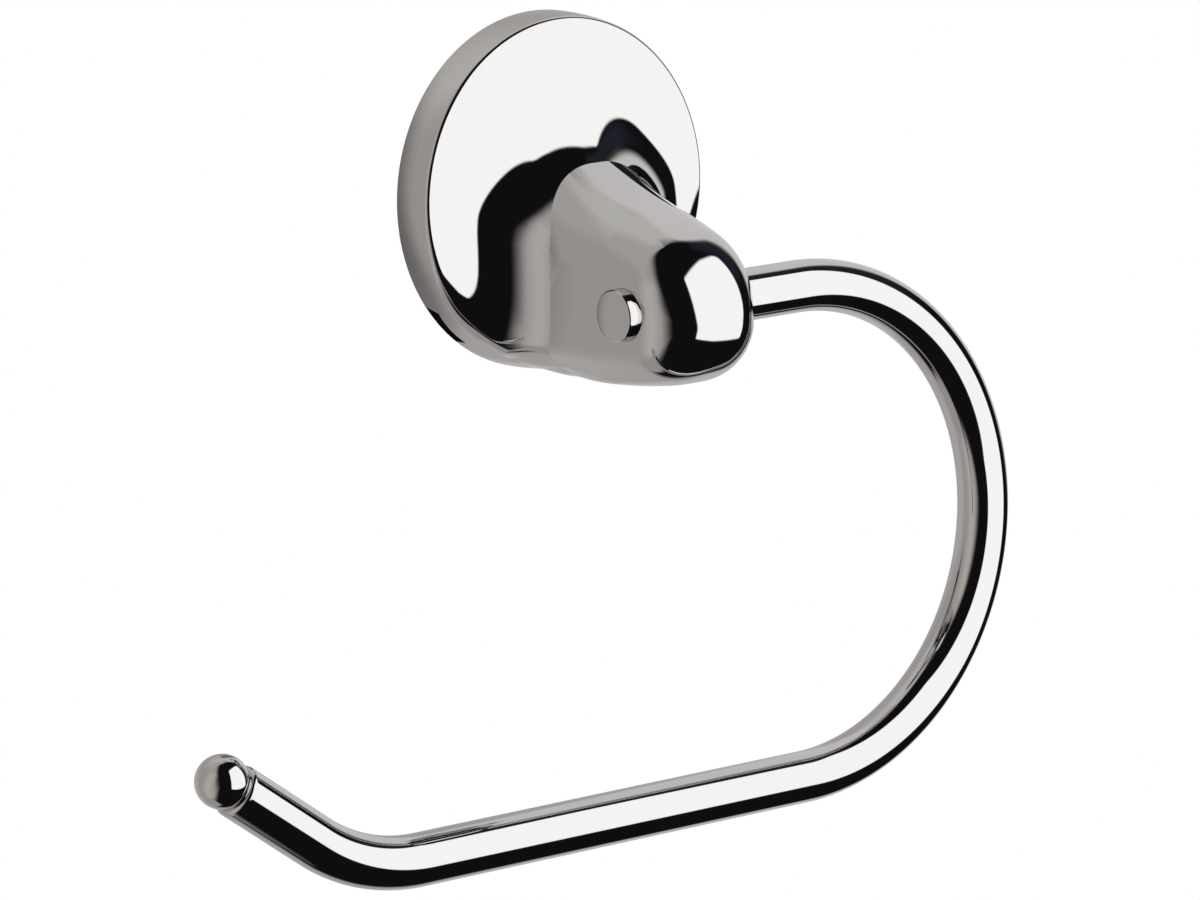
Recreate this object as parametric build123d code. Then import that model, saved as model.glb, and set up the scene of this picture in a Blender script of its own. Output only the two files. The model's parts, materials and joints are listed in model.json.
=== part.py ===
from build123d import *
import os
from math import atan2, cos, degrees, radians, sin, sqrt, tan

# Wall-mounted toilet paper holder: a domed rosette with a rounded nose, cast in one piece, and an open
# bail of round tube that swings in a cross bore through the nose.
# Frame: millimetres, wall plane y = 0, the object stands out to -Y, +X right, +Z up,
# origin at the centre of the rosette on the wall.

# Rosette
ROSETTE_DIAMETER = 68.7
ROSETTE_DEPTH = 8.4
RIM_DRAFT = 5.0
RIM_WALL = 2.7
FACE_DOME_RADIUS = 200.0
FACE_THICKNESS = 2.8

# Nose: from above a tapered bar with a rounded front, from the side an arched back over an arched belly
NOSE_ROOT_WIDTH = 31.3
NOSE_TAPER = 3.4
NOSE_CORNER_RADIUS = 12.0
NOSE_FRONT_RADIUS = 20.0
NOSE_PAST_BORE = 14.2
PROFILE_DEPTH = 56.0
BELLY_ABOVE_RIM_WALL = 2.05
BELLY_ABOVE_RIM_MID = 0.35
BELLY_ABOVE_RIM_FRONT = 4.25
NOSE_HEIGHT_WALL = 36.8
NOSE_HEIGHT_MID = 34.9
NOSE_HEIGHT_FRONT = 21.1
TIP_FLAT = 1.25
BACK_EDGE_SHARE = 0.525
CORNER_EASE = 1.0
ROOT_RADIUS = 12.5
ROOT_TRIM_SLOPE = 0.15

# Core: the hollow that lightens the nose, open to the wall
CORE_WALL = 3.2
CORE_DRAFT = 2.0
CORE_CORNER_RADIUS = 7.0

# Bail: bent tube with a turned pivot pin in one end and a ball on the other
TUBE_DIAMETER = 10.0
TUBE_WALL = 1.0
TUBE_MOUTH_RADIUS = 0.3
BORE_CLEARANCE = 0.05
BORE_FROM_WALL = 40.2
BORE_ABOVE_BELLY = 15.7
UPPER_RUN_LENGTH = 15.8
BEND_RADIUS = 47.9
BEND_ANGLE = 180.9
LOWER_RUN_LENGTH = 93.5
TIP_BEND_RADIUS = 40.3
TIP_BEND_ANGLE = 35.8
TIP_LENGTH = 21.4
BALL_SPIGOT_LENGTH = 9.0
SPIGOT_CLEARANCE = 0.02

# Pivot pin and the stop screw whose dog runs in the pin's part-turn groove
PIN_PROUD = 2.4
PIN_EDGE_RADIUS = 0.5
PIN_SHOULDER_SUNK = 5.3
PIN_SPIGOT_LENGTH = 14.0
GROOVE_DEPTH = 1.8
SWING_IN = 20.0
SWING_OUT = 110.0
STOP_ANGLE_CLEARANCE = 2.0
DOG_DIAMETER = 3.2
DOG_SIDE_CLEARANCE = 0.15
DOG_TIP_CLEARANCE = 0.2
STOP_SCREW_DIAMETER = 5.0
STOP_SCREW_LENGTH = 8.0
THREAD_CLEARANCE = 0.05
HEX_SHARE = 0.5
HEX_DEPTH = 2.5

# Wall plate: a steel strip with a bent lip at each end
PLATE_WIDTH = 20.0
PLATE_THICKNESS = 2.0
PLATE_BEND_RADIUS = 0.5
LIP_TOP_CLEARANCE = 1.0
LIP_RIM_CLEARANCE = 0.1
SCREW_SPACING = 30.0
SCREW_HOLE_DIAMETER = 4.5

# Grub screw that locks the rosette onto the plate, and the boss for it inside the rim
GRUB_DIAMETER = 4.0
GRUB_SUNK = 1.2
GRUB_TIP_CLEARANCE = 0.05
BOSS_WIDTH = 10.0
BOSS_HEIGHT = 3.4
BOSS_SETBACK = 0.5
BOSS_LIP_GAP = 4.2

# Sizes that follow from the ones above
RIM_RADIUS = ROSETTE_DIAMETER / 2
FACE_EDGE_RADIUS = RIM_RADIUS - ROSETTE_DEPTH * tan(radians(RIM_DRAFT))
RECESS_RADIUS = RIM_RADIUS - RIM_WALL
RECESS_DEPTH = ROSETTE_DEPTH - FACE_THICKNESS
NOSE_REACH = BORE_FROM_WALL + NOSE_PAST_BORE
BELLY_Z_WALL = -RIM_RADIUS + BELLY_ABOVE_RIM_WALL
BELLY_Z_MID = -RIM_RADIUS + BELLY_ABOVE_RIM_MID
BELLY_Z_FRONT = -RIM_RADIUS + BELLY_ABOVE_RIM_FRONT
BACK_Z_WALL = BELLY_Z_WALL + NOSE_HEIGHT_WALL
BACK_Z_MID = BELLY_Z_MID + NOSE_HEIGHT_MID
BACK_Z_FRONT = BELLY_Z_FRONT + NOSE_HEIGHT_FRONT
TAPER = radians(NOSE_TAPER)
TUBE_RADIUS = TUBE_DIAMETER / 2
TUBE_BORE_RADIUS = TUBE_RADIUS - TUBE_WALL
SPIGOT_RADIUS = TUBE_BORE_RADIUS - SPIGOT_CLEARANCE
BORE_RADIUS = TUBE_RADIUS + BORE_CLEARANCE
BORE_Y = -BORE_FROM_WALL
BORE_Z = BELLY_Z_MID + BORE_ABOVE_BELLY
CORE_DEPTH = BORE_FROM_WALL - BORE_RADIUS - STOP_SCREW_LENGTH
LIP_HEIGHT = RECESS_DEPTH - LIP_TOP_CLEARANCE
LOWER_LIP_Z = -RECESS_RADIUS + BOSS_HEIGHT + BOSS_LIP_GAP
GRUB_Y = -(PLATE_THICKNESS + LIP_HEIGHT) / 2
CLEAR_OF_ALL = 3 * ROSETTE_DIAMETER


def plan_corner():
    """Centre of the nose's front corner arc, as (distance from the middle plane, distance from the wall)."""
    offset = NOSE_ROOT_WIDTH / 2 - NOSE_CORNER_RADIUS / cos(TAPER)
    front = NOSE_REACH - NOSE_FRONT_RADIUS
    between_centres = NOSE_FRONT_RADIUS - NOSE_CORNER_RADIUS
    along = offset * sin(TAPER) + front * cos(TAPER)
    across = offset * cos(TAPER) - front * sin(TAPER)
    step = along + sqrt(between_centres**2 - across**2)
    return offset - step * sin(TAPER), step * cos(TAPER)


def nose_half_width(from_wall):
    """Half the nose's width at a distance from the wall, on its straight side or its corner arc."""
    corner_x, corner_h = plan_corner()
    if from_wall <= corner_h + NOSE_CORNER_RADIUS * sin(TAPER):
        return NOSE_ROOT_WIDTH / 2 - from_wall * tan(TAPER)
    return corner_x + sqrt(NOSE_CORNER_RADIUS**2 - (from_wall - corner_h) ** 2)


def nose_plan():
    """The nose seen from above: two tapered sides, two corner arcs and a front arc."""
    corner_x, corner_h = plan_corner()
    aim = atan2(corner_h - NOSE_REACH + NOSE_FRONT_RADIUS, corner_x)

    def root(side):
        return side * NOSE_ROOT_WIDTH / 2, 0

    def corner(side, angle):
        across = corner_x + NOSE_CORNER_RADIUS * cos(angle)
        return side * across, -corner_h - NOSE_CORNER_RADIUS * sin(angle)

    edges = [Line(root(-1), root(1))]
    for side in (-1, 1):
        edges.append(Line(root(side), corner(side, TAPER)))
        edges.append(ThreePointArc(*(corner(side, a) for a in (TAPER, (TAPER + aim) / 2, aim))))
    edges.append(ThreePointArc(corner(-1, aim), (0, -NOSE_REACH), corner(1, aim)))
    return make_face(Wire(edges))


def profile_arc(wall_z, mid_z, front_z):
    """Arc in the middle plane through three heights: at the wall, half way out and at the profile's end."""
    return ThreePointArc((0, 0, wall_z), (0, -PROFILE_DEPTH / 2, mid_z), (0, -PROFILE_DEPTH, front_z))


def nose_back():
    return profile_arc(BACK_Z_WALL, BACK_Z_MID, BACK_Z_FRONT)


def nose_belly():
    return profile_arc(BELLY_Z_WALL, BELLY_Z_MID, BELLY_Z_FRONT)


def nose_side():
    """The nose seen from the side, between its arched back and its arched belly."""
    wall = Line((0, 0, BACK_Z_WALL), (0, 0, BELLY_Z_WALL))
    front = Line((0, -PROFILE_DEPTH, BACK_Z_FRONT), (0, -PROFILE_DEPTH, BELLY_Z_FRONT))
    return make_face(Wire([nose_back(), front, nose_belly(), wall]))


def edge_radii():
    """Radii of the rounds along back and belly: they share the tip's height, less a small flat."""
    share = NOSE_REACH / PROFILE_DEPTH
    tip_height = (nose_back() @ share).Z - (nose_belly() @ share).Z
    both = tip_height - TIP_FLAT
    largest = NOSE_CORNER_RADIUS - CORNER_EASE
    return min(both * BACK_EDGE_SHARE, largest), min(both * (1 - BACK_EDGE_SHARE), largest)


def nose():
    """The bar cut from its two outlines, with rounds along its back and its belly."""
    bar = extrude(nose_plan(), CLEAR_OF_ALL, dir=(0, 0, 1), both=True)
    bar &= extrude(nose_side(), CLEAR_OF_ALL, dir=(1, 0, 0), both=True)
    for index, radius in zip((-1, 0), edge_radii()):
        outline = bar.faces().sort_by(Axis.Z)[index].edges()
        bar = fillet([edge for edge in outline if edge.center().Y < -RIM_WALL], radius)
    return bar


def rosette_slab():
    """Slab under the domed face, wider than the rosette, for the root fillet to run out on."""
    sag = FACE_DOME_RADIUS - sqrt(FACE_DOME_RADIUS**2 - FACE_EDGE_RADIUS**2)
    dome = Pos(0, FACE_DOME_RADIUS - ROSETTE_DEPTH - sag, 0) * Sphere(FACE_DOME_RADIUS)
    return dome & Pos(0, -CLEAR_OF_ALL / 2, 0) * Box(CLEAR_OF_ALL / 2, CLEAR_OF_ALL, CLEAR_OF_ALL / 2)


def rim_trim():
    """Revolved solid that trims the slab to its drafted rim and leaves the nose whole."""
    flare = FACE_EDGE_RADIUS + (CLEAR_OF_ALL - ROSETTE_DEPTH) * ROOT_TRIM_SLOPE
    outline = Polyline(
        (0, 0),
        (RIM_RADIUS, 0),
        (FACE_EDGE_RADIUS, -ROSETTE_DEPTH),
        (flare, -CLEAR_OF_ALL),
        (0, -CLEAR_OF_ALL),
        close=True,
    )
    return revolve(make_face(outline), Axis.Y)


def along_x(radius, x_from, x_to):
    """Cylinder on the bore's axis."""
    return Pos((x_from + x_to) / 2, BORE_Y, BORE_Z) * Rot(0, 90, 0) * Cylinder(radius, x_to - x_from)


def along_y(radius, y_from, y_to, z):
    """Cylinder square to the wall."""
    return Pos(0, (y_from + y_to) / 2, z) * Rot(90, 0, 0) * Cylinder(radius, y_to - y_from)


def along_z(radius, z_from, z_to):
    """Cylinder on the grub screw's axis."""
    return Pos(0, GRUB_Y, (z_from + z_to) / 2) * Cylinder(radius, z_to - z_from)


def rear_hollow():
    """The hollow behind the casting: the plate's recess and the nose's core, less the grub screw's boss."""
    recess = along_y(RECESS_RADIUS, -RECESS_DEPTH, 0, 0)
    high = BACK_Z_MID - CORE_WALL
    low = BELLY_Z_MID + CORE_WALL
    width = 2 * (nose_half_width(CORE_DEPTH) - CORE_WALL + CORE_DEPTH * tan(radians(CORE_DRAFT)))
    mouth = Plane((0, 0, (high + low) / 2), x_dir=(1, 0, 0), z_dir=(0, -1, 0))
    core = extrude(mouth * RectangleRounded(width, high - low, CORE_CORNER_RADIUS), CORE_DEPTH, taper=CORE_DRAFT)
    boss_depth = 2 * (-GRUB_Y - BOSS_SETBACK)
    boss_z = -RECESS_RADIUS + BOSS_HEIGHT
    boss = Pos(0, GRUB_Y, boss_z - RIM_RADIUS / 2) * Box(BOSS_WIDTH, boss_depth, RIM_RADIUS)
    return recess + core - boss


def post_casting():
    """Rosette and nose in one casting, with the bail's bore, two screw holes and a hollow back."""
    slab = rosette_slab()
    bar = nose()
    blank = slab + bar
    seam = new_edges(slab, bar, combined=blank).filter_by(lambda edge: edge.center().Y < -RIM_WALL)
    blank = fillet(seam, ROOT_RADIUS) & rim_trim()
    bore = along_x(BORE_RADIUS, -CLEAR_OF_ALL, CLEAR_OF_ALL)
    stop_hole = along_y(STOP_SCREW_DIAMETER / 2 + THREAD_CLEARANCE, BORE_Y, -CORE_DEPTH, BORE_Z)
    grub_hole = along_z(GRUB_DIAMETER / 2 + THREAD_CLEARANCE, -2 * RIM_RADIUS, LOWER_LIP_Z)
    return blank - rear_hollow() - bore - stop_hole - grub_hole


def hex_socket(mouth, diameter):
    """Cutter for a hexagon socket, sunk below a plane at the screw's end."""
    outline = mouth * RegularPolygon(diameter * HEX_SHARE / 2, 6, major_radius=False)
    return extrude(outline, -HEX_DEPTH)


def stop_screw():
    """Socket set screw with a dog point, driven from the core towards the pivot pin."""
    seat = BORE_Y + BORE_RADIUS
    dog_tip = BORE_Y + TUBE_RADIUS - GROOVE_DEPTH + DOG_TIP_CLEARANCE
    screw = along_y(STOP_SCREW_DIAMETER / 2, seat, -CORE_DEPTH, BORE_Z)
    screw += along_y(DOG_DIAMETER / 2, dog_tip, seat, BORE_Z)
    mouth = Plane((0, -CORE_DEPTH, BORE_Z), x_dir=(1, 0, 0), z_dir=(0, 1, 0))
    return screw - hex_socket(mouth, STOP_SCREW_DIAMETER)


def grub_screw():
    """Socket set screw up through the rim's boss, its cone point bearing on the plate's lower lip."""
    low = -RIM_RADIUS + GRUB_SUNK
    high = LOWER_LIP_Z - GRUB_TIP_CLEARANCE
    cone = GRUB_DIAMETER / 2
    screw = along_z(cone, low, high - cone)
    screw += Pos(0, GRUB_Y, high - cone / 2) * Cone(cone, cone / 4, cone)
    mouth = Plane((0, GRUB_Y, low), x_dir=(1, 0, 0), z_dir=(0, 0, -1))
    return screw - hex_socket(mouth, GRUB_DIAMETER)


def wall_plate():
    """Steel strip: two screw holes, an upper lip inside the rim and a lower lip for the grub screw."""
    upper_lip_z = sqrt(RECESS_RADIUS**2 - (PLATE_WIDTH / 2) ** 2) - LIP_RIM_CLEARANCE

    def outline(inset):
        """A channel seen from the side, open to the front."""
        low = LOWER_LIP_Z + inset
        high = upper_lip_z - inset
        face = Plane.YZ * make_face(
            Polyline((-LIP_HEIGHT, low), (-inset, low), (-inset, high), (-LIP_HEIGHT, high), close=True)
        )
        bends = [corner for corner in face.vertices() if corner.Y > -LIP_HEIGHT / 2 - inset / 2]
        return fillet(bends, PLATE_BEND_RADIUS + PLATE_THICKNESS - inset)

    plate = extrude(outline(0) - outline(PLATE_THICKNESS), PLATE_WIDTH / 2, both=True)
    for side in (-1, 1):
        plate -= along_y(SCREW_HOLE_DIAMETER / 2, -LIP_HEIGHT, LIP_HEIGHT, side * SCREW_SPACING / 2)
    return plate


def stop_groove():
    """Ring sector cut into the pivot pin, as long as the bail's swing and the dog's own width."""
    half_width = DOG_DIAMETER / 2 + DOG_SIDE_CLEARANCE
    floor = TUBE_RADIUS - GROOVE_DEPTH
    reach = degrees(atan2(half_width, floor)) + STOP_ANGLE_CLEARANCE
    start = Plane((0, BORE_Y, BORE_Z), x_dir=(1, 0, 0), z_dir=(0, 0, 1)).rotated((-SWING_IN - reach, 0, 0))
    section = start * Pos(0, floor + TUBE_RADIUS) * Rectangle(2 * half_width, TUBE_DIAMETER)
    axis = Axis((0, BORE_Y, BORE_Z), (1, 0, 0))
    return revolve(section, axis, SWING_IN + SWING_OUT + 2 * reach)


def pin_shoulder_x():
    return nose_half_width(BORE_FROM_WALL) - PIN_SHOULDER_SUNK


def pivot_pin():
    """Turned pin: its head shows on the left cheek, the stop screw runs in its groove, the tube sits on it."""
    head_x = -nose_half_width(BORE_FROM_WALL) - PIN_PROUD
    shoulder_x = pin_shoulder_x()
    pin = along_x(TUBE_RADIUS, head_x, shoulder_x)
    pin = fillet(pin.edges().sort_by(Axis.X)[0], PIN_EDGE_RADIUS)
    pin += along_x(SPIGOT_RADIUS, shoulder_x, shoulder_x + PIN_SPIGOT_LENGTH)
    return pin - stop_groove()


def bail_path():
    """Centre line of the tube, from the pivot pin's shoulder round the bail to the ball."""
    upper = Line((0, 0), (PIN_SHOULDER_SUNK + UPPER_RUN_LENGTH, 0))
    bend = JernArc(upper @ 1, upper % 1, BEND_RADIUS, -BEND_ANGLE)
    lower = Line(bend @ 1, bend @ 1 + (bend % 1) * LOWER_RUN_LENGTH)
    tip_bend = JernArc(lower @ 1, lower % 1, TIP_BEND_RADIUS, -TIP_BEND_ANGLE)
    tip = Line(tip_bend @ 1, tip_bend @ 1 + (tip_bend % 1) * TIP_LENGTH)
    plane = Plane((pin_shoulder_x(), BORE_Y, BORE_Z), x_dir=(1, 0, 0), z_dir=(0, -1, 0))
    return plane * Wire([upper, bend, lower, tip_bend, tip])


def bail_tube():
    """Tube bent once into the bail and once more into its raised tip."""
    path = bail_path()
    start = Plane(path @ 0, z_dir=path % 0)
    tube = sweep(start * Circle(TUBE_RADIUS), path)
    mouth = tube.edges().filter_by(GeomType.CIRCLE).sort_by_distance(path @ 1)[0]
    return fillet(mouth, TUBE_MOUTH_RADIUS) - sweep(start * Circle(TUBE_BORE_RADIUS), path)


def end_ball():
    """Ball of the tube's own diameter, seated on its mouth, with a spigot into the tube."""
    path = bail_path()
    lift = sqrt(TUBE_RADIUS**2 - TUBE_BORE_RADIUS**2)
    ball = Pos(0, 0, lift) * Sphere(TUBE_RADIUS)
    ball -= Pos(0, 0, -TUBE_DIAMETER) * Box(2 * TUBE_DIAMETER, 2 * TUBE_DIAMETER, 2 * TUBE_DIAMETER)
    ball += Pos(0, 0, -BALL_SPIGOT_LENGTH / 2) * Cylinder(SPIGOT_RADIUS, BALL_SPIGOT_LENGTH)
    return Plane(path @ 1, z_dir=path % 1) * ball


PIECES = {
    "post_casting": post_casting,
    "wall_plate": wall_plate,
    "rosette_grub_screw": grub_screw,
    "bail_stop_screw": stop_screw,
    "pivot_pin": pivot_pin,
    "bail_tube": bail_tube,
    "end_ball": end_ball,
}

os.makedirs("parts", exist_ok=True)
for name, make in PIECES.items():
    export_step(make(), f"parts/{name}.step")
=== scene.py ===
import json
from math import atan2, cos, pi, radians, sin, sqrt, tan

import bmesh
import bpy
import numpy as np
from bpy.props import FloatProperty, FloatVectorProperty, IntProperty, PointerProperty
from bpy.types import NodeSocket, Operator, Panel, PropertyGroup
from mathutils import Matrix, Vector


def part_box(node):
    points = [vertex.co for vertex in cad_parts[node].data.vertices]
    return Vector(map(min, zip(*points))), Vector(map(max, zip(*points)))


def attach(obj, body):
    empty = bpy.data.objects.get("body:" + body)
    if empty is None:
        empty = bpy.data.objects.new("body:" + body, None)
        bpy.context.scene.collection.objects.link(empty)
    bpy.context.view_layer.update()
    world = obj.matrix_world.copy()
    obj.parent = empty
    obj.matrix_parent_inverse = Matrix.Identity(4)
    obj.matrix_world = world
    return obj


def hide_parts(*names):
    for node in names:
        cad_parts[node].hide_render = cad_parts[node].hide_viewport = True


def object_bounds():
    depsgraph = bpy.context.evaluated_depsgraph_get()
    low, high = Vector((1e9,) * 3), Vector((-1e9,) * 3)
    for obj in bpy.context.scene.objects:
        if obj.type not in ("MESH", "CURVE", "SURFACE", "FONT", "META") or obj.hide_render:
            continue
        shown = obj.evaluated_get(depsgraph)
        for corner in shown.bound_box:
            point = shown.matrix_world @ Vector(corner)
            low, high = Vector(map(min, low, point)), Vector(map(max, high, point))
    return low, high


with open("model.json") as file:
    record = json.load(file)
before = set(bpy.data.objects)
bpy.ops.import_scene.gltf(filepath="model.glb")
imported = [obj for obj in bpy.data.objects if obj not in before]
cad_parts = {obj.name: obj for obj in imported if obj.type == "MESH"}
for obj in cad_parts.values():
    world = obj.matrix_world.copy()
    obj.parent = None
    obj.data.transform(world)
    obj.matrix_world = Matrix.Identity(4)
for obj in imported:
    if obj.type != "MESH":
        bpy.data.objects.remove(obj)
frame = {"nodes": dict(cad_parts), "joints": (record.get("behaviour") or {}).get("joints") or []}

bl_info = {
    "name": "Toilet paper holder",
    "version": (1, 0, 0),
    "blender": (4, 5, 0),
    "location": "View3D > Sidebar > Paper holder",
    "description": "Dresses a chromed toilet paper holder and sets up a studio stage for it",
    "category": "Object",
}

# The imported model's own box, and the bail's pivot, which the bore, the pin and the tube share
CAD_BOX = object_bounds()
MM = 0.001
PIVOT = Vector(frame["joints"][0]["pos_m"]) / MM
SWING_IN, SWING_OUT = (abs(limit) for limit in frame["joints"][0]["range_deg"])


def to_linear(hex_colour):
    """Turns an sRGB hex colour into linear red, green and blue."""
    parts = [int(hex_colour[i : i + 2], 16) / 255 for i in (1, 3, 5)]
    return tuple(p / 12.92 if p <= 0.04045 else ((p + 0.055) / 1.055) ** 2.4 for p in parts)


def length(name, description, millimetres):
    """A length that a user may change, written here in millimetres and kept in metres."""
    kind = {"unit": "LENGTH", "subtype": "DISTANCE", "precision": 5}
    return FloatProperty(name=name, description=description, default=millimetres * MM, **kind)


def turn(name, description, degrees):
    """An angle that a user may change, written here in degrees."""
    kind = {"subtype": "ANGLE"}
    return FloatProperty(name=name, description=description, default=radians(degrees), **kind)


def colour(name, description, hex_colour):
    """A colour that a user may change, written here as sRGB hex."""
    kind = {"subtype": "COLOR", "size": 3, "min": 0, "max": 1}
    tint = to_linear(hex_colour)
    return FloatVectorProperty(name=name, description=description, default=tint, **kind)


class CastingSizes(PropertyGroup):
    """Sizes of the post casting: rosette, nose and the hollow behind them."""

    rosette_diameter: length("Rosette diameter", "Across the rim at the wall", 68.7)
    rosette_depth: length("Rosette depth", "From the wall to the front edge of the rim", 8.4)
    rim_draft: turn("Rim draft", "How far the rim leans in towards the front", 5.0)
    rim_wall: length("Rim wall", "Thickness of the rim round the recess", 2.7)
    rim_edge_radius: length("Rim edge radius", "Round between the rim and the domed face", 0.7)
    rim_edge_low: length("Rim edge below root", "The same round below the nose's cheeks", 5.0)
    face_sag: length("Face sag", "How far the fuller lower face falls back at its edge", 1.7)
    sag_margin: length("Sag margin", "Width of the margin that falls back", 10.0)
    sag_start: length("Sag start", "Height above the rosette's middle where the sag begins", 3.0)
    sag_full: length("Sag full", "How far below the rosette's middle the sag is full", 26.0)
    dome_radius: length("Dome radius", "Radius of the rosette's domed face", 200.0)
    face_thickness: length("Face thickness", "Metal left between the face edge and the recess", 2.8)
    nose_width: length("Nose width", "Width of the nose where it meets the wall", 31.3)
    nose_taper: turn("Nose taper", "Lean of each cheek towards the front", 3.4)
    nose_corner: length("Nose corner", "Radius of the nose's front corners from above", 12.0)
    nose_front: length("Nose front", "Radius of the nose's front from above", 20.0)
    nose_past_bore: length("Nose past bore", "From the bore's axis to the tip of the nose", 14.2)
    profile_depth: length("Profile depth", "Depth over which the heights below are given", 56.0)
    belly_wall: length("Belly at wall", "Belly's height above the rim's foot, at the wall", 2.05)
    belly_mid: length("Belly at middle", "The same height half way out", 0.35)
    belly_front: length("Belly at front", "The same height at the profile's end", 4.25)
    height_wall: length("Nose height at wall", "From belly to back at the wall", 36.8)
    height_mid: length("Nose height at middle", "From belly to back half way out", 34.9)
    height_front: length("Nose height at front", "From belly to back at the profile's end", 21.1)
    back_edge: length("Back edge radius", "Round along the nose's back", 11.0)
    back_edge_root: length("Back edge at root", "The same round where it meets the face", 14.5)
    belly_edge: length("Belly edge radius", "Round along the nose's belly", 10.0)
    root_radius: length("Root radius", "Fillet between the nose's cheeks and the face", 12.5)
    root_radius_back: length("Root radius at back", "The same fillet over the nose's back", 9.0)
    root_crease: length("Root crease", "How far the fillet stops short of the nose's cheeks", 0.35)
    root_rise: length("Root rise", "How far the nose's back sweeps up towards the face", 9.0)
    root_reach: length("Root reach", "How far out of the rim's edge that sweep begins", 26.0)
    root_flare: FloatProperty(
        name="Root flare", description="Slope that trims the root beside the rim", default=0.15
    )
    core_wall: length("Core wall", "Metal left round the nose's core", 3.2)
    core_draft: turn("Core draft", "Lean of the core's walls", 2.0)
    core_corner: length("Core corner", "Radius of the core's corners", 7.0)
    bore_clearance: length("Bore clearance", "Play of the bail in its bore, each side", 0.05)
    stop_screw: length("Stop screw diameter", "Diameter of the screw behind the pivot pin", 5.0)
    stop_screw_length: length("Stop screw length", "Length of that screw's thread", 8.0)
    grub_screw: length("Grub screw diameter", "Diameter of the screw in the rim's foot", 4.0)
    thread_clearance: length("Thread clearance", "Play round either screw, each side", 0.05)
    boss_width: length("Boss width", "Width of the grub screw's boss", 10.0)
    boss_height: length("Boss height", "How far that boss stands into the recess", 3.4)
    boss_setback: length("Boss setback", "How far that boss stops short of the wall", 0.5)


class BailSizes(PropertyGroup):
    """Sizes of the swinging bail: bent tube, pivot pin and end ball."""

    tube_diameter: length("Tube diameter", "Outside diameter of the tube", 10.0)
    tube_wall: length("Tube wall", "Thickness of the tube's wall", 1.0)
    mouth_radius: length("Mouth radius", "Round on the tube's open end", 0.85)
    upper_run: length("Upper run", "Straight tube outside the nose", 15.8)
    bend_radius: length("Bend radius", "Centre line radius of the large bend", 47.9)
    bend_angle: turn("Bend angle", "Turn of the large bend", 180.9)
    lower_run: length("Lower run", "Straight tube that carries the roll", 93.5)
    tip_bend_radius: length("Tip bend radius", "Centre line radius of the tip's bend", 40.3)
    tip_bend_angle: turn("Tip bend angle", "Turn of that bend", 35.8)
    tip_run: length("Tip run", "Straight tube up to the ball", 21.4)
    ball_spigot: length("Ball spigot", "Length of the ball's spigot in the tube", 9.0)
    spigot_clearance: length("Spigot clearance", "Play of the spigots in the tube", 0.02)
    pin_proud: length("Pin proud", "How far the pivot pin stands out of the cheek", 2.4)
    pin_edge: length("Pin edge radius", "Round on the pin's visible end", 0.5)
    pin_shoulder: length("Pin shoulder", "Depth of the pin's shoulder inside the far cheek", 5.3)
    pin_spigot: length("Pin spigot", "Length of the pin's spigot in the tube", 14.0)
    groove_depth: length("Groove depth", "Depth of the stop groove in the pin", 1.8)
    dog_diameter: length("Dog diameter", "Diameter of the stop screw's dog", 3.2)
    dog_clearance: length("Dog clearance", "Play of the dog in the groove, each side", 0.15)
    stop_play: turn("Stop play", "Swing left past each limit", 2.0)
    tube_sides: IntProperty(
        name="Tube sides", description="Faces round the tube", default=72, min=12
    )


class Finishes(PropertyGroup):
    """Colours of the metals."""

    chrome: colour("Chrome", "Bright chrome plate", "#D8D7D6")
    zinc: colour("Zinc", "Zinc plate on the wall plate", "#B4B6B4")
    steel: colour("Steel", "Bare stainless screws", "#A7A6A3")


class StageSettings(PropertyGroup):
    """Camera and studio."""

    camera_turn: turn("Camera turn", "Turn from straight ahead, to the left if negative", -39.077)
    camera_rise: turn("Camera rise", "Camera's height angle over the target", 10.891)
    camera_roll: turn("Camera roll", "Camera's roll round its own axis", -1.694)
    camera_distance: length("Camera distance", "From the camera to its target", 1032.663)
    target: FloatVectorProperty(
        name="Target",
        description="Point the camera looks at",
        default=(-0.035689, -0.060, -0.037981),
        subtype="XYZ_LENGTH",
        size=3,
        precision=5,
    )
    lens: length("Lens", "Focal length on a sensor 36 mm wide", 171.19)
    dome_radius: length("Studio radius", "How far the studio's cards stand from the object", 500.0)
    floor_drop: length("Floor drop", "How far the floor lies below the object", 600.0)
    backdrop: colour("Backdrop", "Floor and background", "#FFFFFF")


class HolderSettings(PropertyGroup):
    """All settings of the paper holder."""

    casting: PointerProperty(type=CastingSizes)
    bail: PointerProperty(type=BailSizes)
    finish: PointerProperty(type=Finishes)
    stage: PointerProperty(type=StageSettings)


class Millimetres:
    """Reads a group's lengths in millimetres and leaves its angles and shares alone."""

    def __init__(self, group):
        self.group = group

    def __getattr__(self, name):
        value = getattr(self.group, name)
        prop = self.group.bl_rna.properties[name]
        return value / MM if prop.unit == "LENGTH" else value


# Materials

# Values between which most of a noise lies
NOISE_LOW, NOISE_HIGH = 0.3, 0.7


def add_node(tree, kind, sockets=None, settings=None):
    """Adds a node with its options; each socket named gets a value or the socket that feeds it."""
    node = tree.nodes.new(kind)
    for option, value in (settings or {}).items():
        setattr(node, option, value)
    for socket, value in (sockets or {}).items():
        if isinstance(value, NodeSocket):
            tree.links.new(value, node.inputs[socket])
        else:
            node.inputs[socket].default_value = value
    return node


def blank_material(name):
    """An empty node material and its tree."""
    material = bpy.data.materials.new(name)
    material.use_nodes = True
    material.node_tree.nodes.clear()
    return material, material.node_tree


def noise_scale(millimetres):
    """Noise scale whose lumps are about this far apart."""
    return 1 / (millimetres * MM)


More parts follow.
